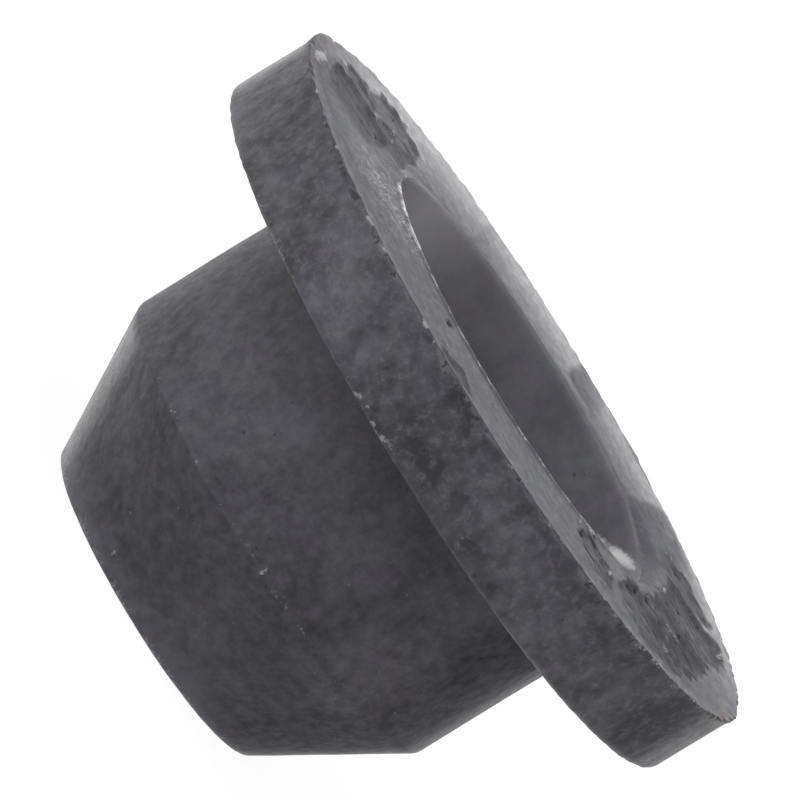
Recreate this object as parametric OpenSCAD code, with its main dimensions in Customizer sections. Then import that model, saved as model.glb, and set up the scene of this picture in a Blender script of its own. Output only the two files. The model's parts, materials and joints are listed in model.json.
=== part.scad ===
// Flanged rubber grommet: a thick round flange, a plain round body and a tapered nose,
// moulded in one piece around a through bore. Millimetres.
// The nose stands on z = 0 and the flange is on top, as the grommet sits in its panel.

/* [Flange] */
// Outside diameter of the flange
flange_d = 26; // [21:0.5:34]
// Thickness of the flange
flange_t = 3.2; // [2:0.1:5]
// Rounding of the flange's rear edge
rear_edge_r = 0.3; // [0.1:0.05:1]

/* [Body] */
// Diameter of the straight bore, open at the flange face
bore_d = 15.1; // [11:0.1:16]
// Wall around the straight bore
body_wall = 1.05; // [0.8:0.05:2]
// Length of the plain body that fills the panel's hole
body_len = 6.25; // [3:0.25:12]
// Rounding where the body meets the flange
root_r = 0.2; // [0.1:0.05:1]

/* [Nose] */
// Height of the tapered nose
nose_h = 4.85; // [3.5:0.05:8]
// Diameter of the hole through the nose
nose_hole_d = 9; // [6:0.1:10]
// Straight length of the hole through the nose
nose_hole_len = 1; // [0.8:0.1:2]
// Width of the end face around the hole, before its outer edge is rounded
nose_face_w = 1.3; // [0.9:0.05:1.8]
// Rounding of the nose's outer edge
nose_edge_r = 0.2; // [0.1:0.05:0.5]
// Rounding where the taper meets the body
taper_edge_r = 0.3; // [0.1:0.05:1]

/* [Torn skin] */
// Depth of the torn patches in the flange face, or 0 for a whole face
tear_depth = 0.25; // [0:0.05:0.4]
// Width of the scoops that make up the larger patches
tear_w = 3.3; // [2:0.1:4]
// Least skin left between a torn patch and the rim or the bore
tear_margin = 0.3; // [0.1:0.05:0.6]

/* [Hidden] */
$fn = 180;

body_d = bore_d + 2 * body_wall;
nose_d = nose_hole_d + 2 * nose_face_w;
shoulder_z = nose_h + body_len;
height = shoulder_z + flange_t;

// The hollow of the nose runs parallel to its outside.
taper = (body_d - nose_d) / 2 / nose_h;
bore_end_z = nose_hole_len + (bore_d - nose_hole_d) / 2 / taper;

// Width of the flange's underside, and of the ring that is its face, with that ring's middle radius
shoulder_w = (flange_d - body_d) / 2;
face_w = (flange_d - bore_d) / 2;
face_r = (flange_d + bore_d) / 4;

// The half section, anticlockwise from the inner corner of the nose's end face.
// Each corner is [radius, height, rounding].
section = [
    [nose_hole_d / 2, 0, 0],
    [nose_d / 2, 0, nose_edge_r],
    [body_d / 2, nose_h, taper_edge_r],
    [body_d / 2, shoulder_z, min(root_r, shoulder_w / 2)],
    [flange_d / 2, shoulder_z, min(rear_edge_r, shoulder_w / 2, flange_t / 2)],
    [flange_d / 2, height, 0],
    [bore_d / 2, height, 0],
    [bore_d / 2, bore_end_z, 0],
    [nose_hole_d / 2, nose_hole_len, 0],
];

// Torn patches: where each scoop lies around the face (degrees), how far its middle is from
// the middle of the ring (share of the ring's width), and its size against the large scoops.
long_tear = [[178, 0.04, 1], [165, 0.06, 0.9], [152, 0.02, 0.95]];
ridged_tear = [[24, 0.06, 0.95], [12, 0, 1], [-1, 0, 1], [-14, -0.04, 1], [-27, -0.08, 0.9]];
small_tears = [[-52, -0.02, 0.6], [-96, 0.34, 0.4]];

function corner(i) = let (c = section[(i + len(section)) % len(section)]) [c[0], c[1]];
function unit(v) = v / norm(v);
function to_last(i) = unit(corner(i - 1) - corner(i));
function to_next(i) = unit(corner(i + 1) - corner(i));
function half_angle(i) = acos(to_last(i) * to_next(i)) / 2;
// How far from the corner its rounding starts, and the middle of the rounding
function reach(i) = section[i][2] / tan(half_angle(i));
function middle(i) = corner(i) + unit(to_last(i) + to_next(i)) * section[i][2] / sin(half_angle(i));
function is_hollow(i) = cross(to_next(i - 1), to_next(i)) < 0;

// Corners of the section with each rounded one cut straight across
function cut_corners() = [
    for (i = [0 : len(section) - 1])
        for (side = section[i][2] > 0 ? [to_last(i), to_next(i)] : [[0, 0]])
            corner(i) + side * reach(i)
];

module roundings(hollow) {
    for (i = [0 : len(section) - 1])
        if (section[i][2] > 0 && is_hollow(i) == hollow)
            translate(middle(i)) circle(section[i][2]);
}

module half_section() {
    difference() {
        union() {
            polygon(cut_corners());
            roundings(hollow = false);
        }
        roundings(hollow = true);
    }
}

// One shallow spoon-shaped scoop out of the flange face
module scoop(angle, offset, size) {
    width = min(tear_w * size, face_w * (1 - 2 * abs(offset)) - 2 * tear_margin);
    depth = min(tear_depth * size, width / 4);
    ball_r = (width * width / 4 + depth * depth) / (2 * depth);
    rotate(angle)
        translate([face_r + offset * face_w, 0, height + ball_r - depth])
            sphere(ball_r);
}

module tears() {
    for (place = concat(long_tear, ridged_tear, small_tears))
        scoop(place[0], place[1], place[2]);
}

module grommet() {
    color([0.26, 0.255, 0.275])
        difference() {
            rotate_extrude() half_section();
            if (tear_depth > 0) tears();
        }
}

grommet();
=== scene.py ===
"""A flanged rubber grommet with torn skin, standing nose down on a pale floor."""

import json
from math import atan2, ceil, cos, degrees, exp, hypot, pi, radians, sin

import bmesh
import bpy
from mathutils import Matrix, Vector, noise


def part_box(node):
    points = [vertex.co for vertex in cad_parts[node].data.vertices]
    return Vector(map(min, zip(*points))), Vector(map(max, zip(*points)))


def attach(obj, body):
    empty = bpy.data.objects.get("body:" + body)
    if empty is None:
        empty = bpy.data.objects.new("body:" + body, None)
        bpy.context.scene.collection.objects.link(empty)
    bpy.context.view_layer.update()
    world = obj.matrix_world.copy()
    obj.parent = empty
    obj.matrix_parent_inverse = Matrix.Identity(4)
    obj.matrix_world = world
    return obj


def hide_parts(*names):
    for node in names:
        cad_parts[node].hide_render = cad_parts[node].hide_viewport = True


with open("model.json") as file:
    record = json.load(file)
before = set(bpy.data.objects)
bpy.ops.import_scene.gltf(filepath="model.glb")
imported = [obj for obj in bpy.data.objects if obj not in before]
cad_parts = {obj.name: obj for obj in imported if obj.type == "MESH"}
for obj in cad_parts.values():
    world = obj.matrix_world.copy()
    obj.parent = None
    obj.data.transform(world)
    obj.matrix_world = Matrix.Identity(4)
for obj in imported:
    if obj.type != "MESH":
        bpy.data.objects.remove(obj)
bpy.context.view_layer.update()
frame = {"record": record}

# ---- Sizes, in millimetres, taken from the part and its record ----------------------------

MM = 0.001
_, top_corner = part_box("grommet")
mounts = {m["name"]: m for m in frame["record"]["mounts"]}

flange_r = top_corner.x / MM
height = top_corner.z / MM
bore_r = mounts["bore"]["dims"]["r_mm"]
bore_end_z = height - mounts["bore"]["dims"]["length_mm"]
hole_r = mounts["nose_hole"]["dims"]["r_mm"]
hole_len = mounts["nose_hole"]["dims"]["length_mm"]
body_r = mounts["body"]["dims"]["r_mm"]
shoulder_z = mounts["shoulder"]["pos_m"][2] / MM
nose_r = 5.8
nose_h = 4.85

# ---- Small helpers ------------------------------------------------------------------------


def ease(low_end, high_end, value):
    """0 below low_end, 1 above high_end, and a soft step between them."""
    t = min(max((value - low_end) / (high_end - low_end), 0.0), 1.0)
    return t * t * (3 - 2 * t)


def wander(p, size, seed=0):
    """Smooth random value from about -1 to 1, with features of that size in mm."""
    return noise.noise(Vector((p[0], p[1], p[2])) / size + Vector((seed, 3.7 * seed, -seed)))


def bearing(x, y):
    """Direction of a point around the grommet's axis, in degrees from +X."""
    return degrees(atan2(y, x))


def turned(a, b):
    """Angle between two directions, in degrees."""
    return abs((a - b + 180) % 360 - 180)


# ---- The moulded shape: a section spun round the bore -------------------------------------

# Each corner of the half section: radius, height, how far back its rounding starts, the number
# of rows in that rounding, and the row spacing of the stretch that follows it.
section = [
    (hole_r, 0, 0.10, 2, 0.40),
    (nose_r, 0, 0.13, 3, 0.38),
    (body_r, nose_h, 0.10, 3, 0.38),
    (body_r, shoulder_z, 0.20, 2, 0.90),
    (flange_r, shoulder_z, 0.30, 4, 0.22),
    (flange_r, height - 0.45, 0, 0, 0.09),
    (flange_r, height, 0.035, 2, 0.10),
    (flange_r - 0.45, height, 0, 0, 0.17),
    (bore_r + 0.40, height, 0, 0, 0.10),
    (bore_r, height, 0.06, 2, 0.12),
    (bore_r, height - 0.6, 0, 0, 0.55),
    (bore_r, bore_end_z, 0.4, 2, 1.00),
    (hole_r, hole_len, 0.15, 2, 0.50),
]
spin_steps = 432
spin_sectors = 8


def spun_moulding():
    """The section with its corners rounded, cut into rows and spun into a closed ring."""
    bm = bmesh.new()
    verts = [bm.verts.new((corner[0], 0, corner[1])) for corner in section]
    bm.faces.new(verts)
    for vert, (_, _, back, rows, _) in zip(verts, section):
        if rows:
            bmesh.ops.bevel(bm, geom=[vert], offset=back, offset_type="OFFSET", affect="VERTICES",
                            segments=rows, profile=0.5, material=-1, clamp_overlap=False)
    bmesh.ops.delete(bm, geom=bm.faces[:], context="FACES_ONLY")
    for edge in bm.edges[:]:
        spacing = row_spacing((edge.verts[0].co + edge.verts[1].co) / 2)
        rows = ceil(edge.calc_length() / spacing)
        if rows > 1:
            bmesh.ops.subdivide_edges(bm, edges=[edge], cuts=rows - 1)
    # one sector is spun, and copies of it close the ring
    sector = 2 * pi / spin_sectors
    axis = {"cent": (0, 0, 0), "axis": (0, 0, 1)}
    bmesh.ops.spin(bm, geom=bm.verts[:] + bm.edges[:], angle=sector,
                   steps=spin_steps // spin_sectors, **axis)
    bmesh.ops.spin(bm, geom=bm.verts[:] + bm.edges[:] + bm.faces[:], angle=2 * pi - sector,
                   steps=spin_sectors - 1, use_duplicate=True, **axis)
    bmesh.ops.remove_doubles(bm, verts=bm.verts, dist=0.002)
    bmesh.ops.recalc_face_normals(bm, faces=bm.faces)
    return bm


def row_spacing(point):
    """Row spacing of the stretch of the section that a point lies on."""
    def off_line(i):
        (r0, z0), (r1, z1) = section[i][:2], section[(i + 1) % len(section)][:2]
        a, b, p = Vector((r0, z0)), Vector((r1, z1)), Vector((point.x, point.z))
        t = min(max((p - a).dot(b - a) / (b - a).length_squared, 0), 1)
        return (p - a.lerp(b, t)).length
    return section[min(range(len(section)), key=off_line)][4]


# ---- Torn skin on the flange face ---------------------------------------------------------

# Each gouge is deepest under a steep edge on its far side, and rises towards the near side:
# middle x, far edge y, half width, length, depth, and 2 for an arched edge to 6 for a square one.
gouges = [
    # long tear
    (-9.25, 6.5, 1.5, 4.2, 0.13, 4), (-10.8, 3.9, 0.9, 2.4, 0.12, 3), (-8.45, 4.9, 0.6, 5.4, 0.14, 3),
    (-10.4, 2.1, 1.65, 4.2, 0.18, 3), (-9.2, 3.5, 0.5, 2.0, 0.16, 2), (-10.3, -1.2, 1.4, 3.0, 0.05, 4),
    # ridged tear
    (9.0, 7.0, 1.3, 3.0, 0.09, 4), (9.75, 4.9, 1.6, 7.0, 0.20, 6), (10.7, 5.3, 0.6, 3.0, 0.20, 2),
    (9.7, 0.4, 1.55, 4.0, 0.25, 6), (9.6, -1.2, 1.6, 3.4, 0.24, 6), (9.1, -3.0, 1.7, 4.8, 0.24, 6),
    (7.8, -3.0, 0.6, 4.0, 0.26, 2),
    # small tear near the bore, and a tear at the near rim
    (5.6, -6.3, 0.6, 2.0, 0.10, 3), (6.6, -6.5, 0.45, 2.6, 0.10, 3), (-1.4, -11.2, 0.8, 2.0, 0.14, 2),
]
# Small holes in the torn rubber, and a slit beside the mouth, painted dark as shade: middle x, far edge
# y, half width and length.
pits = [
    (8.2, 6.6, 0.13, 0.8), (9.2, 2.9, 0.10, 0.6), (11.0, 2.9, 0.10, 0.5), (8.7, 1.6, 0.12, 0.6),
    (10.0, 1.5, 0.10, 0.6), (10.9, 1.5, 0.10, 0.4), (8.2, -1.4, 0.22, 0.3), (8.8, -2.4, 0.26, 0.3),
    (7.75, -3.2, 0.09, 0.4), (9.7, -5.1, 0.07, 0.4), (9.7, -6.1, 0.07, 0.4), (10.6, -2.8, 0.08, 0.5),
    (5.2, -6.8, 0.10, 1.2), (5.6, -6.2, 0.40, 0.4), (6.3, -6.3, 0.36, 0.35), (5.35, -7.6, 0.30, 0.4),
    (5.85, -8.2, 0.36, 0.4), (6.4, -8.7, 0.30, 0.4), (7.6, -3.7, 0.30, 0.3), (-9.5, 5.9, 0.08, 0.4),
    (-10.9, 3.5, 0.28, 0.25), (-11.7, 0.9, 0.10, 0.8), (-9.2, 0.6, 0.09, 0.8), (-2.77, -7.8, 0.15, 1.1),
    (5.5, -5.5, 0.10, 0.4),
]
# Torn rubber lies in ridges along X: their spacing and height, then the middle and the size of
# the stretch where they stand highest.
ridge_step, ridge_rise = 1.3, 0.13
ridge_stretch = (9.3, -2.6, 3.2)
# Bits of skin left standing on the edges of the tears: middle x and y, half width, half length
# and height.
flaps = [
    (-12.33, -1.8, 0.24, 1.3, 0.115), (-11.8, 2.0, 0.16, 0.45, 0.08), (-9.1, 6.9, 0.09, 0.25, 0.07),
    (-10.9, 4.4, 0.12, 0.5, 0.06), (-9.1, 3.6, 0.13, 0.6, 0.07), (-8.85, 2.7, 0.10, 0.4, 0.06),
    (-7.9, 6.0, 0.09, 0.4, 0.05), (8.3, 1.5, 0.14, 0.55, 0.11), (11.1, 1.2, 0.11, 0.35, 0.07),
    (11.2, 4.8, 0.14, 0.5, 0.08), (6.75, -7.0, 0.11, 0.40, 0.12), (9.7, -3.5, 0.12, 0.40, 0.06),
    (7.4, 6.4, 0.12, 0.35, 0.05), (9.9, -4.6, 0.10, 0.35, 0.05), (10.1, -6.3, 0.12, 0.5, 0.05),
    (6.9, -9.2, 0.10, 0.35, 0.05), (7.2, 0.6, 0.10, 0.5, 0.03), (4.85, -6.6, 0.10, 0.4, 0.06),
    (5.3, -5.9, 0.14, 0.3, 0.05), (6.3, -8.9, 0.25, 0.25, 0.04), (8.6, -1.9, 0.35, 0.18, 0.05),
    (8.6, -2.9, 0.40, 0.18, 0.05), (9.4, -3.1, 0.30, 0.20, 0.05), (7.6, 6.5, 0.12, 0.4, 0.07),
    (-2.3, -11.3, 0.20, 0.3, 0.05), (10.9, 0.9, 0.10, 0.4, 0.05),
]
# Crinkled skin beside the long tear: middle x and y, half width and half length.
crinkle = (-6.9, -4.6, 2.3, 3.9)


def ridge_place(x, y):
    """How far on from the last ridge that point lies, from 0 to 1."""
    return (y / ridge_step + 0.25 * x / ridge_step + 0.9 * wander((x / 3.0, y / 1.5, 0), 1.0, 5)) % 1.0


def gouge_depth(x, y):
    """Depth below the face, and how strongly the skin's cut edge shows there."""
    p = (x, y, 0)
    wx = x + 0.14 * wander(p, 0.9, 1) + 0.26 * wander(p, 2.1, 40)
    sway = 0.40 * wander(p, 1.3, 3) if x > 0 else 0.25 * wander(p, 2.4, 3)
    wy = y + sway + 0.08 * wander(p, 0.45, 4)
    wall_w = 0.40 + 0.25 * wander(p, 1.2, 9)
    on = ridge_place(x, y)
    depth, lip = 0.0, 0.0
    for mid_x, far_y, half_w, length, deep, square in gouges:
        u = abs(wx - mid_x) / (half_w * (1.06 - 0.12 * on if x > 0 else 1.0))
        if u > 1.4:
            continue
        below = far_y - 2.8 / square * half_w * u ** square - wy
        length *= 1 + 0.25 * wander(p, 0.8, 26)
        if -0.8 < below < length:
            wall = ease(0.0, wall_w, below) * (1 - ease(0.80, 1.05, u))
            ramp = max(1 - (far_y - wy) / length, 0) ** 0.7
            depth = max(depth, deep * wall * ramp)
            lip = max(lip, exp(-((below + 0.10) / 0.14) ** 2) * (1 - ease(0.8, 1.3, u)))
    return depth, lip


def pit_at(x, y):
    """How far inside one of the small holes that point lies, from 0 to 1."""
    share = 0.0
    wx = x + 0.08 * wander((x, y / 2, 0), 0.3, 50) + 0.06 * wander((x, y / 2, 0), 0.12, 51)
    wy = y + 0.12 * wander((x, y / 2, 0), 0.25, 52)
    for mid_x, far_y, half_w, length in pits:
        u, below = abs(wx - mid_x) / half_w, far_y - wy
        if u < 1.3 and 0 < below < length:
            share = max(share, ease(0, 0.12, below) * ease(1, 0.4, below / length) * ease(1.3, 0.4, u))
    return share


def torn_floor(x, y):
    """Height of the torn rubber's ridges and loose bits, how much painted highlight the crests get, and
    how much painted shade the hollows get.
    """
    on = ridge_place(x, y)
    mid_x, mid_y, size = ridge_stretch
    high = 0.3 + 0.7 * exp(-(hypot(x - mid_x, y - mid_y) / size) ** 4) if x > 0 else 0.15
    rise = ridge_rise * high * (1 + 0.8 * wander((x, y, 0), 1.1, 27))
    ridge = rise * (ease(0.0, 0.16, on) - on)
    fine = 0.035 * wander((x, y / 4, 0), 0.5, 6)
    crumb = 0.05 * ease(0.25, 0.6, wander((x, y / 2, 0), 0.35, 7))
    crest = high * exp(-((on - 0.15) / 0.1) ** 2) * ease(0.0, 0.4, wander((x / 2, y, 0), 0.5, 28))
    hollow = high * ease(0.55, 0.95, on) * ease(1.0, 0.97, on)
    hollow *= ease(-0.3, 0.2, wander((x / 2, y, 0), 0.7, 44))
    return ridge + fine + crumb, crest, hollow


def crinkled(x, y):
    """Height of the crinkled skin, and where it lies."""
    mid_x, mid_y, half_w, half_l = crinkle
    where = exp(-((x - mid_x) / half_w) ** 2 - ((y - mid_y) / half_l) ** 2)
    fold = 1 - ease(0.0, 0.3, abs(wander((x, y / 4.0, 0), 0.55, 8)))
    return 0.05 * fold * where * ease(bore_r + 0.15, bore_r + 0.7, hypot(x, y)), where


# ---- Wear, bloom and painted light --------------------------------------------------------

# Patches of more or less bloom on the skin outside, and at height 10.4 painted light that lifts the
# shade under the flange: direction round the axis (degrees), height, size in mm, and how much paler
# they make it.
patches = [
    (254, 8.6, 0.9, 0.40), (231, 11.5, 0.6, 0.30), (240, 6.6, 2.8, 0.28), (222, 11.9, 0.5, 0.35),
    (282, 5.5, 2.2, -0.12), (210, 12.9, 2.2, -0.12), (246, 12.6, 3.2, 0.30), (270, 12.6, 2.2, -0.20),
    (275, 12.2, 1.1, -0.25), (290, 12.1, 1.0, -0.25), (293, 12.6, 3.5, 0.10), (303, 12.7, 1.1, 0.35),
    (336, 12.5, 3.0, -0.25), (200, 11.3, 0.6, 0.4), (210, 11.3, 0.6, 0.4), (250, 10.4, 1.2, 0.15),
    (275, 10.4, 1.2, 0.15), (300, 10.4, 1.2, 0.15), (312, 5.2, 1.6, -0.12),
]
# Patches of painted light inside the bore, where the wall looks lit and shining, given in the same way.
bore_patches = [(154, 13.4, 3.3, 1.1), (8, 13.6, 2.2, 0.8)]
# Dull patches on the far half of the face: from x, to x, how far the first edge leans for each mm
# outwards, inner and outer radius, and how much duller.
dull_patches = [
    (0.65, 2.15, 0.0, 8.9, 13.2, 0.85), (5.1, 7.4, 0.2, 8.0, 12.6, 0.85), (7.2, 9.4, 0.0, 8.5, 12.2, 0.40),
    (-4.9, -3.4, 0.0, 7.6, 13.2, 0.20), (1.5, 12.0, 0.0, 7.6, 13.2, 0.15),
]
# Brighter ones: middle x and y, size in mm, and how much less dull.
bright_patches = [
    (-7.2, -4.4, 2.9, 0.40), (-7.6, 1.0, 0.9, 0.5), (6.6, -5.2, 1.0, 0.25), (12.0, -1.0, 1.6, 0.12),
    (-9.2, 5.2, 1.6, 0.6), (-10.4, 3.2, 1.2, 0.3), (7.4, 2.4, 1.6, 0.22),
]
# Duller or glossier stretches of the outside: direction, half length in degrees, lowest and highest
# point, and how much duller.
side_sheen = [(331, 14, 0.0, 11.1, 1.0), (335, 8, 11.1, 14.3, 0.8),
              (312, 10, 0.0, 4.2, 0.5), (199, 12, 0.0, 4.85, -0.8), (186, 5, 11.1, 14.3, -0.7)]
# Where the mouth is worn round: direction and half length in degrees. Then the slanted painted
# highlight on the bore's wall, a white streak for light shining off it: direction, half length in
# degrees, height, half height, and fall in mm a degree.
worn_mouth = (8, 34)
wall_highlight = (28, 12.5, 13.38, 0.24, 0.044)
# Worn stretches of the rear edge, also painted pale as a highlight where its rounding catches the light:
# direction, half length in degrees, and how pale.
worn_and_highlit_rear_edge = [(262, 9, 0.9), (233, 10, 0.55), (222, 4, 0.35), (300, 30, 0.25), (80, 60, 0.3)]
# The side of the nose's taper painted paler as a highlight: direction, half length in degrees, and how
# pale.
pale_taper = (194, 11, 0.42)
# The face's skin hangs ragged over the rim there, painted pale for the face's sheen: direction, half
# length in degrees, and how far, as a share.
fringes = [(324, 22, 1.0), (246, 16, 0.6)]
# The rim is torn and dirty brown round that direction.
dirty_corner = 354
# Flash standing up on the rim: direction, half length in degrees, and height.
flash = [(177, 8, 0.11), (318, 5, 0.05), (352, 8, 0.05), (150, 3, 0.04), (72, 3, 0.05), (30, 2, 0.05)]
# Moulding nubs: direction, height, and how far they stand out.
nubs = [(276, 4.95, 0.05), (273, 5.98, 0.04), (250, 0.79, 0.05), (223.5, 4.23, 0.05)]


def bloom_and_light_at(turn, r, z):
    """How pale the moulded skin's bloomed tone is there, from 0 to 1, with painted light towards the
    nose's end and up under the flange.
    """
    on_taper = z < nose_h
    if r > body_r + 0.3:
        amount = 0.55
    elif on_taper:
        # paler towards the nose's end: painted light along the edge
        amount = 0.40 + 0.85 * ease(1.3, 0.1, z)
    else:
        # paler up under the flange: painted light that lifts its shade
        amount = 0.54 + 0.14 * ease(8.3, 10.2, z)
    for way, level, size, extra in patches:
        off = hypot(radians(turned(turn, way)) * r, z - level)
        share = 0.3 if on_taper and level > nose_h else 1.0
        amount += extra * exp(-(off / size) ** 2) * share
    return amount


# ---- Finer mesh where the shape is fine ----------------------------------------------------


def refine(bm, wanted):
    """Halves the faces for which wanted(x, y, z) is true."""
    edges = {e for f in bm.faces if wanted(*f.calc_center_median()) for e in f.edges}
    bmesh.ops.subdivide_edges(bm, edges=list(edges), cuts=1, use_grid_fill=True)


def near_tear(x, y, z):
    if z < height - 0.1 or not bore_r < hypot(x, y) < flange_r:
        return False
    if hypot((x - crinkle[0]) / crinkle[2], (y - crinkle[1]) / crinkle[3]) < 1.0:
        return True
    if any(abs(x - mid_x) < half_w + 0.1 and far_y - length - 0.1 < y < far_y + 0.1
           for mid_x, far_y, half_w, length in pits):
        return True
    return any(abs(x - mid_x) < half_w + 0.3 and far_y - length - 0.5 < y < far_y + 0.5
               for mid_x, far_y, half_w, length, _, _ in gouges)


def near_wall_highlight(x, y, z):
    return (hypot(x, y) < bore_r + 0.05 and turned(bearing(x, y), wall_highlight[0]) < 1.6 * wall_highlight[1]
            and wall_highlight[2] - 1.3 < z < height - 0.05)


def near_rim(x, y, z):
    return hypot(x, y) > flange_r - 0.32 and z > height - 0.32


# ---- Sculpting ----------------------------------------------------------------------------

# What is painted on each point, from 0 for none to 1 for full, or a little more where it is strong.
painted = ("torn", "skin", "pale", "dirt_and_shade", "inside", "bloom_and_painted_light", "dull", "rust", "patchy", "folded")


class Spot:
    """One point of the plain moulding: where it lies, how far it is moved and what is painted on it."""

    def __init__(self, point, normal):
        self.p = self.x, self.y, self.z = tuple(point)
        self.r = hypot(self.x, self.y)
        self.turn = bearing(self.x, self.y) % 360
        self.below = height - self.z
        self.normal = normal
        self.outward = Vector((self.x / self.r, self.y / self.r, 0))
        self.inward = normal.dot(self.outward) < -0.3
        self.outside = normal.dot(self.outward) > 0.3
        self.on_flange = self.r > body_r + 0.3
        self.on_face = (ease(height - 0.05, height - 0.02, self.z)
                        * ease(bore_r - 0.02, bore_r + 0.03, self.r))
        self.at_bore = self.r < bore_r + 0.25 and (self.inward or self.z > height - 0.1)
        self.far_side = ease(10, 35, self.turn) * ease(180, 160, self.turn)
        self.to_rim = hypot(self.r - flange_r, self.below)
        self.to_mouth = hypot(self.r - bore_r, self.below)
        self.move = Vector()
        self.paint = dict.fromkeys(painted, 0.0)


def lay_finish(s):
    """Skin on the face, the wall's finish in the bore, and over the rest a pale bloomed tone with painted
    light in places.
    """
    # the wall's finish, whose lighter colour is painted light, runs on over the edge of the mouth's far
    # side
    s.paint["skin"] = s.on_face * (1 - 0.85 * s.far_side * ease(0.22, 0.04, s.r - bore_r))
    s.paint["inside"] = 1.0 - s.paint["skin"] if s.at_bore else 0.0
    s.paint["bloom_and_painted_light"] = bloom_and_light_at(s.turn, s.r, s.z)
    if s.at_bore:
        # inside the bore this layer is painted light only: paler near the top of the far wall, and the lit
        # patches
        s.paint["bloom_and_painted_light"] = 0.18 * s.far_side * ease(0.45, 0.0, s.below)
        for way, level, size, extra in bore_patches:
            off = hypot(radians(turned(s.turn, way)) * s.r, s.z - level)
            s.paint["bloom_and_painted_light"] += extra * exp(-(off / size) ** 2)
    s.paint["patchy"] = 1.0 if s.on_flange else 0.2
    for way, half, start, end, amount in side_sheen:
        if start <= s.z <= end and not s.on_face and not s.inward:
            share = exp(-(turned(s.turn, way) / half) ** 4)
            share *= ease(-0.05, 0.5, min(s.z - start, end - s.z))
            s.paint["dull"] += amount * share
            # the bloomed tone follows the sheen as painted light: darker where duller, paler where
            # glossier
            s.paint["bloom_and_painted_light"] -= 0.15 * amount * share


def uneven_skin(s):
    """The whole skin is a little uneven, the bore least."""
    calm = 0.4 if s.paint["inside"] > 0.5 else 1.0
    lift = 0.014 * wander(s.p, 1.7, 11) + 0.007 * wander(s.p, 0.55, 12) + 0.004 * wander(s.p, 0.2, 13)
    s.move = s.normal * lift * calm


def torn_face(s):
    """The tears, with their ridges, small holes, standing flaps and crinkled skin."""
    x, y, paint = s.x, s.y, s.paint
    depth, lip = gouge_depth(x, y)
    keep = ease(0.10, 0.45, flange_r - s.r) * ease(0.05, 0.35, s.r - bore_r)
    torn = ease(0.015, 0.07, depth) * keep
    ragged = ease(-0.3, 0.3, wander(s.p, 0.5, 14))
    bits, crest, hollow = torn_floor(x, y)
    s.move.z += bits * torn - depth * keep + 0.05 * lip * ragged * keep * (1 - torn)
    paint["torn"] = torn
    pit = pit_at(x, y)
    s.move.z -= 0.09 * pit
    # painted shade: dark in the hollows between the ridges and in the small holes
    paint["dirt_and_shade"] = max(1.1 * hollow * torn, 0.8 * pit)
    # painted highlights on the skin's cut lips and on the ridges' crests
    paint["pale"] = (0.4 * lip * ragged * keep * (1 - 0.6 * torn) + 0.65 * crest * torn) * (1 - pit)
    fold, where = crinkled(x, y)
    s.move.z += fold * (1 - torn)
    paint["folded"] = ease(0.15, 0.75, where) * (1 - torn)
    for mid_x, mid_y, half_w, half_l, rise in flaps:
        off = hypot((x - mid_x) / half_w, (y - mid_y) / half_l)
        if off < 2.5:
            on_flap = exp(-(off * (1 + 0.5 * wander(s.p, 0.3, 25))) ** 2)
            s.move.z += rise * on_flap
            # the flaps are painted pale as highlights
            paint["pale"] = max(paint["pale"], 9 * rise * ease(0.15, 0.8, on_flap))


def dull_face(s):
    """The near half of the face is duller, and so are some patches on the far half."""
    x, y, r = s.x, s.y, s.r
    outwards = 0.35 + 0.65 * ease(bore_r, flange_r, r)
    near_edge = ease(flange_r - 0.7, flange_r - 0.1, r) * ease(0, -4, y)
    dull = 0.96 - 1.15 * ease(-4, 9, y) * outwards - 0.35 * near_edge
    dull += 0.25 * s.far_side * ease(0.8, 0.0, r - bore_r)
    if y > 0:
        for start, end, lean, inner, outer, amount in dull_patches:
            on = x - lean * (r - bore_r) + 0.15 * wander((x, y / 3, 0), 0.8, 29)
            along = ease(start - 0.12, start + 0.12, on) * ease(end + 0.4, end - 0.15, on)
            along *= 1 - 0.6 * ease(start + 0.3, end, on)
            across = ease(inner - 0.5, inner + 0.2, r) * ease(outer + 0.4, outer - 0.3, r)
            dull += amount * along * across
    for mid_x, mid_y, size, amount in bright_patches:
        dull -= amount * exp(-(hypot(x - mid_x, y - mid_y) / size) ** 4)
    s.paint["dull"] = dull


def fringe_at(turn):
    """How far the face's skin hangs ragged over the rim in that direction."""
    return sum(share * exp(-(turned(turn, way) / half) ** 4) for way, half, share in fringes)


def dirty_corner_at(turn):
    """How near that direction is to the rim's brown, dirty corner."""
    return 1 - ease(6, 24, turned(turn, dirty_corner))


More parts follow.
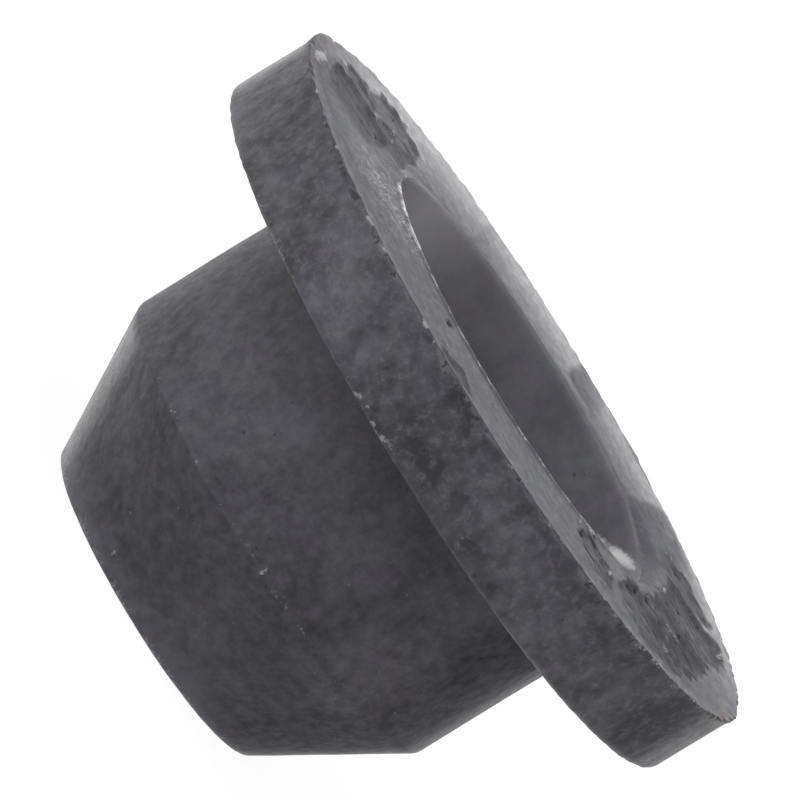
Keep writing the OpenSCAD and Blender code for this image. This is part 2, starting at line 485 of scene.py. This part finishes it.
def ragged_rim(s):
    """Flash and notches along the rim, and painted highlights in pale bits on it, stronger on the near
    side.
    """
    rim = exp(-(s.to_rim / 0.13) ** 2)
    if rim <= 0.02:
        return
    notch = ease(0.25, 0.6, wander(s.p, 0.33, 16))
    wave = 0.6 * wander(s.p, 0.8, 24) + 0.4 * wander(s.p, 0.21, 15)
    s.move += s.outward * rim * (0.05 * wave - 0.06 * notch)
    tatters = 0.07 * fringe_at(s.turn) + 0.10 * dirty_corner_at(s.turn)
    s.move += s.outward * rim * tatters * wander(s.p, 0.35, 45)
    s.move.z += rim * (0.04 * wander(s.p, 0.45, 17) - 0.05 * notch)
    for way, half, rise in flash:
        share = exp(-(turned(s.turn, way) / half) ** 4)
        s.move += (s.outward + Vector((0, 0, 1))) * rise * share * exp(-(s.to_rim / 0.3) ** 2) * 0.7
    # pale bits on the rim are painted highlights, brighter on the near side
    near = ease(185, 200, s.turn) * ease(350, 335, s.turn)
    rim_glints = ease(0.0, 0.5, 0.6 * wander(s.p, 0.6, 19) + 0.6 * wander(s.p, 0.2, 48))
    s.paint["pale"] += (0.35 + 0.35 * near) * rim * rim_glints * (1 - notch)


def dirty_rim(s):
    """Brown dirt on and beside two corners of the rim."""
    if s.to_rim >= 1.2:
        return
    dirty = dirty_corner_at(s.turn) * ease(-0.3, 0.3, wander((s.x, s.y / 3, s.z), 0.45, 33))
    s.paint["rust"] = dirty * max(exp(-(s.to_rim / 0.45) ** 2), s.on_face * ease(12.2, 12.6, s.x))
    s.paint["rust"] += 0.35 * s.on_face * ease(-11.9, -12.4, s.x)
    s.paint["dirt_and_shade"] += 0.6 * dirty * s.on_face * ease(12.3, 12.7, s.x)


def below_the_rim(s):
    """Painted shadow just under the rim, hanging tatters painted pale for the face's sheen, and a light
    strip on the flange's side, just below the face.
    """
    if s.r <= flange_r - 0.05 or s.below >= 0.7:
        return
    x, y, z = s.p
    on_fringe = fringe_at(s.turn)
    bits = 0.6 * wander((x, y, z / 2), 0.45, 20) + 0.6 * wander((x, y, z / 2), 0.15, 47)
    often = wander(s.p, 1.6, 34) + 0.5 * on_fringe
    # dark bits just under the rim are painted shadow, as under hanging teeth of skin
    s.paint["dirt_and_shade"] = (ease(0.45, 0.10, s.below) * ease(0.0, 0.08, s.below)
                        * ease(0.0, 0.35, bits) * ease(-0.3, 0.1, often))
    drop = 0.10 + 0.26 * wander((x, y, 0), 0.7, 41) + 0.10 * wander((x, y, 0), 0.25, 42)
    # the hanging tatters are painted pale for the sheen that the face shows
    s.paint["pale"] += 0.38 * on_fringe * ease(drop + 0.05, drop - 0.05, s.below)
    light = 0.55 * ease(228, 243, s.turn) * ease(325, 300, s.turn)
    s.paint["bloom_and_painted_light"] += light * ease(drop + 0.10, drop - 0.02, s.below)


def mouth_bead(s):
    """A soft bead round the near side of the mouth, painted pale along it as a highlight and white at one
    end.
    """
    bead = exp(-((s.to_mouth - 0.10) / 0.17) ** 2)
    near_side = ease(150, 170, s.turn) * ease(345, 320, s.turn)
    if bead * near_side <= 0.02:
        return
    white_end = ease(188, 204, s.turn) * ease(244, 222, s.turn)
    s.move.z += bead * near_side * (0.06 + 0.015 * wander(s.p, 0.5, 18) + 0.02 * white_end)
    pale_marks = ease(-0.4, 0.1, wander(s.p, 0.6, 21)) * (0.65 + 0.55 * ease(-0.1, 0.4, wander(s.p, 0.22, 46)))
    pale_marks *= 0.4 + 0.6 * ease(180, 195, s.turn)
    # the pale and the white on the bead are a painted highlight
    s.paint["pale"] += bead * near_side * (pale_marks + 0.7 * white_end)


def worn_mouth_and_wall_highlight(s):
    """The mouth is worn round on one side, with a white streak painted on the wall below it as a
    highlight.
    """
    if s.below >= 2.5:
        return
    way, half = worn_mouth
    worn = exp(-(turned(s.turn, way) / half) ** 4)
    if worn > 0.01 and s.r < bore_r + 1.0:
        back = s.below if s.inward else s.r - bore_r
        s.move.z -= 0.32 * worn * max(1 - back / 0.95, 0) ** 2
    if s.inward:
        # a white streak painted on the wall below the worn edge, a painted highlight for light shining off
        # it
        way, half, level, half_h, fall = wall_highlight
        on = (s.turn + 180 - way) % 360 - 180
        across = (s.z - level + fall * on) / half_h * (1 + 0.35 * on / half)
        streak = wander((0.12 * on, across, 0), 0.6, 31) + 0.5 * wander((0.4 * on, across, 0), 0.3, 53)
        off = hypot(on / half, across) - 0.2 * streak
        s.paint["pale"] += 1.45 * exp(-max(off, 0.0) ** 2) * (1 + 0.45 * streak)


def pale_edges(s):
    """The flange's rear edge is worn, and painted pale as a highlight where it catches the light; on the
    body the taper's edge, one side of the taper and the nose's end carry painted light.
    """
    rear = exp(-(hypot(s.r - flange_r + 0.08, s.z - shoulder_z - 0.10) / 0.22) ** 2)
    if rear > 0.02:
        s.move += s.normal * rear * (0.03 * wander(s.p, 0.5, 35) + 0.02 * wander(s.p, 0.22, 36))
        # the rear edge is worn, and painted pale as a highlight where its rounding catches the light
        for way, half, amount in worn_and_highlit_rear_edge:
            share = exp(-(turned(s.turn, way) / half) ** 4)
            s.paint["pale"] += amount * rear * share * ease(-0.3, 0.3, wander(s.p, 0.25, 22))
    if s.outside and not s.on_flange:
        # a band of painted light along the nose's end
        s.paint["pale"] += 0.6 * ease(0.5, 0.05, s.z) * ease(-0.6, 0.2, wander(s.p, 0.7, 49))
        # painted highlights in dots along the taper's edge
        taper = exp(-((s.z - nose_h - 0.12) / 0.18) ** 2)
        s.paint["pale"] += 0.36 * taper * ease(-0.3, 0.4, wander(s.p, 0.8, 32))
        # one side of the taper painted paler as a highlight
        way, half, amount = pale_taper
        share = exp(-(turned(s.turn, way) / half) ** 4) * ease(nose_h, nose_h - 0.4, s.z)
        s.paint["pale"] += amount * share * ease(-0.6, 0.2, wander(s.p, 0.4, 55))
        s.paint["bloom_and_painted_light"] += 0.8 * amount * share


def moulding_nubs(s):
    """Small nubs left by the mould, painted pale as the highlight on them."""
    for way, level, rise in nubs:
        off = hypot(radians(turned(s.turn, way)) * s.r, s.z - level)
        if off < 0.25 and s.r < flange_r - 1:
            s.move += s.normal * rise * exp(-(off / 0.09) ** 2)
            s.paint["pale"] = max(s.paint["pale"], exp(-(off / 0.1) ** 2))


def sculpt(bm):
    """Moves each point of the moulding, and writes what is painted there into the layers."""
    layers = {name: bm.verts.layers.float.new(name) for name in painted}
    bm.normal_update()
    spots = [(v, Spot(v.co, v.normal.copy())) for v in bm.verts]
    for v, s in spots:
        lay_finish(s)
        uneven_skin(s)
        if s.on_face > 0:
            torn_face(s)
            dull_face(s)
        ragged_rim(s)
        dirty_rim(s)
        below_the_rim(s)
        mouth_bead(s)
        worn_mouth_and_wall_highlight(s)
        pale_edges(s)
        moulding_nubs(s)
        v.co += s.move
        v.co.z = max(v.co.z, 0.0)
        for name, layer in layers.items():
            v[layer] = min(max(s.paint[name], -1.0), 1.6)


def finished_mesh(bm, name):
    """The sculpted shape as a smooth piece in metres, with its faces outwards."""
    bmesh.ops.recalc_face_normals(bm, faces=bm.faces)
    bmesh.ops.scale(bm, vec=(MM, MM, MM), verts=bm.verts)
    for face in bm.faces:
        face.smooth = True
    mesh = bpy.data.meshes.new(name)
    bm.to_mesh(mesh)
    bm.free()
    piece = bpy.data.objects.new(name, mesh)
    bpy.context.scene.collection.objects.link(piece)
    return piece


# ---- Materials ----------------------------------------------------------------------------


class Nodes:
    """Short ways to add and join the nodes of one material."""

    def __init__(self, name):
        self.material = bpy.data.materials.new(name)
        self.material.use_nodes = True
        self.tree = self.material.node_tree
        self.tree.nodes.clear()

    def add(self, kind, **inputs):
        node = self.tree.nodes.new(kind)
        for key, value in inputs.items():
            self.feed(node.inputs[key.replace("_", " ")], value)
        return node

    def feed(self, socket, value):
        if isinstance(value, bpy.types.NodeSocket):
            self.tree.links.new(value, socket)
        else:
            socket.default_value = value

    def noise(self, place, size, detail=4.0, rough=0.6, distort=0.0):
        node = self.add("ShaderNodeTexNoise", Vector=place, Scale=1 / size, Detail=detail,
                        Roughness=rough, Distortion=distort)
        return node.outputs["Fac"]

    def step(self, value, start, end, low_value=0.0, high_value=1.0):
        node = self.add("ShaderNodeMapRange")
        node.interpolation_type = "SMOOTHSTEP"
        for socket, given in zip(node.inputs, (value, start, end, low_value, high_value)):
            self.feed(socket, given)
        return node.outputs["Result"]

    def math(self, operation, a, b=0.0):
        node = self.add("ShaderNodeMath")
        node.operation = operation
        self.feed(node.inputs[0], a)
        self.feed(node.inputs[1], b)
        return node.outputs[0]

    def plus(self, a, b):
        return self.math("ADD", a, b)

    def times(self, a, b):
        return self.math("MULTIPLY", a, b)

    def about_zero(self, pattern, strength):
        """A pattern that swings both ways from zero."""
        return self.times(self.math("SUBTRACT", pattern, 0.5), strength)

    def lines(self, pattern, outer, inner):
        """Thin lines where a pattern passes its middle value."""
        return self.step(self.math("ABSOLUTE", self.math("SUBTRACT", pattern, 0.5)), outer, inner)

    def stretched(self, place, by):
        return self.add("ShaderNodeMapping", Vector=place, Scale=by).outputs[0]

    def shifted(self, place, by):
        return self.add("ShaderNodeMapping", Vector=place, Location=by).outputs[0]

    def specks(self, place, spacing, radius, share):
        """Small round spots, at most one in each cell of that spacing in mm."""
        cells = self.add("ShaderNodeTexVoronoi", Vector=place, Scale=1 / spacing)
        pick = self.add("ShaderNodeSeparateColor", Color=cells.outputs["Color"])
        present = self.math("LESS_THAN", pick.outputs[0], share)
        size = self.step(pick.outputs[1], 0, 1, 0.5 * radius / spacing, 1.3 * radius / spacing)
        return self.times(self.math("LESS_THAN", cells.outputs["Distance"], size), present)

    def mix(self, share, a, b, blend="MIX"):
        node = self.add("ShaderNodeMix")
        node.data_type = "RGBA"
        node.blend_type = blend
        self.feed(node.inputs["Factor"], share)
        colours = [s for s in node.inputs if s.type == "RGBA"]
        self.feed(colours[0], a)
        self.feed(colours[1], b)
        return [s for s in node.outputs if s.type == "RGBA"][0]

    def attribute(self, name):
        node = self.add("ShaderNodeAttribute")
        node.attribute_name = name
        return node.outputs["Fac"]


def colour(r, g, b):
    return (r, g, b, 1.0)


# the palest tone also serves for painted light
bare_rubber, full_bloom_and_light = colour(0.0185, 0.0172, 0.0235), colour(0.135, 0.128, 0.157)
pale_wisp = colour(0.15, 0.15, 0.165)
# the wall's tones are lighter than the outside rubber, painted light for the light reaching into the bore;
# the palest is the lit patches
wall_dark, wall_light = colour(0.106, 0.103, 0.121), colour(0.150, 0.146, 0.166)
painted_light_wall = colour(0.42, 0.412, 0.435)
skin_dark, skin_light = colour(0.0495, 0.0495, 0.064), colour(0.074, 0.0745, 0.095)
flow_dark, flow_light = colour(0.03, 0.03, 0.036), colour(0.124, 0.1245, 0.151)
crack_dark = colour(0.012, 0.012, 0.014)
torn_dark, torn_light = colour(0.074, 0.072, 0.080), colour(0.138, 0.135, 0.145)
# painted highlight on the crinkled skin's folds
fold_pale = colour(0.30, 0.298, 0.325)
# black for dark specks, dirt and painted shade
speck_pale, dirt_and_shade_black = colour(0.17, 0.17, 0.185), colour(0.010, 0.010, 0.012)
rust_brown = colour(0.16, 0.095, 0.075)
greenish, purplish = colour(0.965, 1.02, 0.965), colour(1.02, 0.985, 1.02)
# pale grains and white, for worn places and for painted highlights
crumb_pale, wear_and_highlight_white = colour(0.34, 0.335, 0.36), colour(0.92, 0.91, 0.92)


class RubberNodes(Nodes):
    """The rubber's nodes, with the painted layers and the patterns that its finishes share."""

    def __init__(self):
        super().__init__("rubber")
        coords = self.add("ShaderNodeTexCoord").outputs["Object"]
        self.place = self.stretched(coords, (1 / MM, 1 / MM, 1 / MM))
        self.paint = {layer: self.attribute(layer) for layer in painted}
        self.cloud = self.noise(self.place, 2.4, 4, 0.55)
        self.blotch = self.noise(self.place, 0.95, 3, 0.6)
        self.mottle = self.noise(self.place, 0.42, 4, 0.62)
        self.grain = self.noise(self.place, 0.13, 3, 0.7)
        self.drift = self.noise(self.shifted(self.place, (3, 8, 1)), 1.1, 3, 0.6)
        self.flow = self.noise(self.stretched(self.place, (1, 0.35, 1)), 0.30, 3, 0.6)
        self.light_specks = self.specks(self.place, 0.62, 0.045, 0.45)
        self.dark_specks = self.specks(self.shifted(self.place, (7, 3, 5)), 0.7, 0.05, 0.45)
        # fine curly folds in the crinkled skin, painted pale in the colour as highlights and raised in the
        # bump
        curls = self.noise(self.stretched(self.place, (1, 0.25, 1)), 0.42, 3, 0.55, 0.9)
        folds = self.times(self.lines(curls, 0.065, 0.015), self.step(self.drift, 0.40, 0.56))
        self.folds = self.times(folds, self.paint["folded"])


def bloomed_and_lit_rubber(n):
    """Dark rubber under an uneven pale bloomed tone, which holds painted light in places, with pale wisps.
    """
    patchy = n.paint["patchy"]
    spread = n.plus(n.about_zero(n.cloud, 1.0), n.about_zero(n.mottle, 0.95))
    spread = n.plus(spread, n.about_zero(n.grain, n.step(patchy, 0, 1, 0.26, 0.04)))
    spread = n.plus(spread, n.times(n.about_zero(n.blotch, 1.15), patchy))
    amount = n.plus(n.times(n.paint["bloom_and_painted_light"], 0.66), spread)
    base = n.mix(n.math("MAXIMUM", amount, 0.0), bare_rubber, full_bloom_and_light)
    curl = n.noise(n.place, 0.42, 2, 0.5, 0.8)
    wisps = n.times(n.lines(curl, 0.09, 0.01), n.step(n.mottle, 0.46, 0.62))
    return n.mix(n.times(wisps, n.step(patchy, 0, 1, 0.05, 0.34)), base, pale_wisp)


def bore_wall(n, base):
    """The smoother wall inside the bore, coloured lighter than the rubber outside as painted light, with
    patches of paler painted light.
    """
    inside = n.paint["inside"]
    wall = n.mix(n.step(n.plus(n.cloud, n.times(n.mottle, 0.6)), 0.60, 1.0), wall_dark, wall_light)
    wall = n.mix(n.times(n.paint["bloom_and_painted_light"], inside), wall, painted_light_wall)
    return n.mix(inside, base, wall)


def face_skin(n, base):
    """The face's bluish skin, with flow marks and a few hairline cracks."""
    skin = n.mix(n.step(n.cloud, 0.3, 0.7), skin_dark, skin_light)
    skin = n.mix(n.step(n.flow, 0.50, 0.68, 0, 0.28), skin, flow_light)
    skin = n.mix(n.step(n.flow, 0.42, 0.30, 0, 0.28), skin, flow_dark)
    bend = n.noise(n.place, 1.6, 3, 0.5, 0.4)
    cracks = n.times(n.lines(bend, 0.012, 0.004), n.step(n.blotch, 0.54, 0.60))
    skin = n.mix(n.times(cracks, 0.7), skin, crack_dark)
    return n.mix(n.paint["skin"], base, skin)


def torn_rubber(n, base):
    """Fibrous rubber in the tears, and pale painted highlights on the folds of the crinkled skin."""
    fibres = n.noise(n.stretched(n.place, (1, 0.3, 1)), 0.5, 4, 0.6)
    base = n.mix(n.paint["torn"], base, n.mix(n.step(fibres, 0.28, 0.72), torn_dark, torn_light))
    return n.mix(n.times(n.folds, 0.6), base, fold_pale)


def dirtied_and_shaded(n, base):
    """Specks, rust, dirt and painted shade, and a drift between greenish and purplish grey."""
    base = n.mix(n.times(n.light_specks, 0.5), base, speck_pale)
    base = n.mix(n.times(n.dark_specks, 0.6), base, dirt_and_shade_black)
    base = n.mix(n.times(n.paint["rust"], 0.5), base, rust_brown)
    dirt_and_shade = n.paint["dirt_and_shade"]
    # dark where the layer is dirt at the rim's corner, and painted shade in hollows, holes and under the
    # rim
    dirt = n.step(n.plus(n.grain, n.times(dirt_and_shade, 0.45)), 0.62, 0.85)
    dirt = n.times(dirt, n.math("MINIMUM", n.times(dirt_and_shade, 3.0), 0.8))
    base = n.mix(dirt, base, dirt_and_shade_black)
    return n.mix(1.0, base, n.mix(n.step(n.drift, 0.36, 0.64), greenish, purplish), "MULTIPLY")


def pale_marks(n, base):
    """Worn places and painted highlights are pale in grains, and white where they are strongest."""
    pale, inside = n.paint["pale"], n.paint["inside"]
    crumbled = n.step(n.plus(n.grain, n.times(pale, 0.55)), 0.70, 0.95)
    crumbled = n.times(crumbled, n.math("MINIMUM", n.times(pale, 4.0), 1.0))
    crumbled = n.times(crumbled, n.step(inside, 1, 0, 0.25, 1))
    base = n.mix(crumbled, base, crumb_pale)
    return n.mix(n.step(pale, n.step(inside, 0, 1, 0.9, 0.2), 1.5), base, wear_and_highlight_white)


def fine_relief(n):
    """Mottling, specks, flow marks and folds, as a bump."""
    skin = n.paint["skin"]
    bumps = n.plus(n.times(n.mottle, 0.6), n.times(n.grain, 0.33))
    bumps = n.plus(bumps, n.times(n.light_specks, 0.25))
    bumps = n.math("SUBTRACT", bumps, n.times(n.dark_specks, 0.25))
    bumps = n.times(bumps, n.step(n.math("MAXIMUM", n.paint["inside"], skin), 0, 1, 1, 0.3))
    bumps = n.plus(bumps, n.times(n.times(n.flow, skin), 0.17))
    bumps = n.plus(bumps, n.times(n.folds, 0.7))
    return n.add("ShaderNodeBump", Height=bumps, Strength=0.6, Distance=0.06 * MM).outputs["Normal"]


def roughness(n):
    """Mottled, and rougher where the rubber is dull or torn."""
    rough = n.step(n.mottle, 0.3, 0.7, 0.50, 0.42)
    rough = n.plus(rough, n.times(n.math("SUBTRACT", 0.5, n.flow), n.times(n.paint["skin"], 0.17)))
    rough = n.plus(rough, n.times(n.paint["dull"], 0.26))
    return n.plus(rough, n.times(n.paint["torn"], 0.35))


def rubber():
    n = RubberNodes()
    base = pale_marks(n, dirtied_and_shaded(n, torn_rubber(n, face_skin(n, bore_wall(n, bloomed_and_lit_rubber(n))))))
    shader = n.add("ShaderNodeBsdfPrincipled", Base_Color=base, Roughness=roughness(n),
                   Normal=fine_relief(n))
    shader.inputs["Specular IOR Level"].default_value = 0.35
    n.add("ShaderNodeOutputMaterial", Surface=shader.outputs[0])
    return n.material


def floor_finish():
    n = Nodes("pale floor")
    path = n.add("ShaderNodeLightPath")
    seen = n.math("MAXIMUM", path.outputs["Is Camera Ray"], path.outputs["Is Glossy Ray"])
    seen = n.math("MAXIMUM", seen, path.outputs["Is Transmission Ray"])
    plain = n.add("ShaderNodeBsdfDiffuse", Color=colour(0.6, 0.6, 0.6)).outputs[0]
    white = n.add("ShaderNodeEmission", Color=colour(1, 1, 1), Strength=1.27).outputs[0]
    light = n.add("ShaderNodeMixShader", Fac=n.times(seen, 0.72))
    n.feed(light.inputs[1], plain)
    n.feed(light.inputs[2], white)
    n.add("ShaderNodeOutputMaterial", Surface=light.outputs[0])
    return n.material


def soft_world(level):
    world = bpy.data.worlds.new("soft studio")
    world.use_nodes = True
    tree = world.node_tree
    tree.nodes.clear()
    path = tree.nodes.new("ShaderNodeLightPath")
    either = tree.nodes.new("ShaderNodeMath")
    either.operation = "MAXIMUM"
    third = tree.nodes.new("ShaderNodeMath")
    third.operation = "MAXIMUM"
    strength = tree.nodes.new("ShaderNodeMapRange")
    strength.inputs["To Min"].default_value = level
    back = tree.nodes.new("ShaderNodeBackground")
    out = tree.nodes.new("ShaderNodeOutputWorld")
    join = tree.links.new
    join(path.outputs["Is Camera Ray"], either.inputs[0])
    join(path.outputs["Is Glossy Ray"], either.inputs[1])
    join(either.outputs[0], third.inputs[0])
    join(path.outputs["Is Transmission Ray"], third.inputs[1])
    join(third.outputs[0], strength.inputs["Value"])
    join(strength.outputs[0], back.inputs["Strength"])
    join(back.outputs[0], out.inputs["Surface"])
    bpy.context.scene.world = world


# ---- Build --------------------------------------------------------------------------------

moulding = spun_moulding()
refine(moulding, near_rim)
refine(moulding, near_tear)
refine(moulding, near_wall_highlight)
refine(moulding, near_wall_highlight)
sculpt(moulding)
grommet = finished_mesh(moulding, "grommet_rubber")
grommet.data.materials.append(rubber())
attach(grommet, "root")
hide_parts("grommet")

# ---- Stage, light and camera --------------------------------------------------------------

floor_half_width = 0.9
floor_mesh = bmesh.new()
bmesh.ops.create_grid(floor_mesh, x_segments=1, y_segments=1, size=floor_half_width)
floor_data = bpy.data.meshes.new("floor")
floor_mesh.to_mesh(floor_data)
floor_mesh.free()
floor = bpy.data.objects.new("floor", floor_data)
bpy.context.scene.collection.objects.link(floor)
floor_data.materials.append(floor_finish())

world_strength = 0.48
soft_world(world_strength)

# Camera: low over the flange face, and rolled so that the nose points down and left.
camera_rise = radians(8.64)
camera_roll = radians(58.5)
camera_far = 0.498
camera_lens = 689
camera_sensor = 36
# how far the middle of the view lies from the middle of the mouth, across and down
aside, below = 0.00408, 0.00074
mouth = Vector((0, 0, height * MM))
looking = Vector((0, cos(camera_rise), -sin(camera_rise)))
level_right = Vector((1, 0, 0))
level_up = level_right.cross(looking)
right = level_right * cos(camera_roll) + level_up * sin(camera_roll)
up = right.cross(looking)
aim = mouth - right * aside - up * below

camera_data = bpy.data.cameras.new("camera")
camera_data.lens = camera_lens
camera_data.sensor_width = camera_sensor
camera = bpy.data.objects.new("camera", camera_data)
camera.matrix_world = Matrix.Translation(aim - looking * camera_far) @ Matrix(
    (right, up, -looking)).transposed().to_4x4()
bpy.context.scene.collection.objects.link(camera)
bpy.context.scene.camera = camera


def soft_lamp(name, towards, distance, size, power):
    """A square area lamp in that direction from the grommet, facing it."""
    data = bpy.data.lights.new(name, "AREA")
    data.size = size
    data.energy = power
    lamp = bpy.data.objects.new(name, data)
    place = towards.normalized() * distance
    facing = place.to_track_quat("Z", "Y").to_matrix().to_4x4()
    lamp.matrix_world = Matrix.Translation(place + aim) @ facing
    bpy.context.scene.collection.objects.link(lamp)


soft_lamp("lamp over the upper side", up * 1.0 - looking * 0.3 - right * 0.2, 0.45, 0.40, 0.75)
soft_lamp("lamp in front, above the face", -looking * 1.0 + level_up * 0.6, 0.50, 0.50, 1.1)
soft_lamp("lamp behind the flange face", looking * 1.0 + level_up * 0.35, 0.35, 0.30, 0.5)

scene = bpy.context.scene
scene.view_settings.view_transform = "Standard"
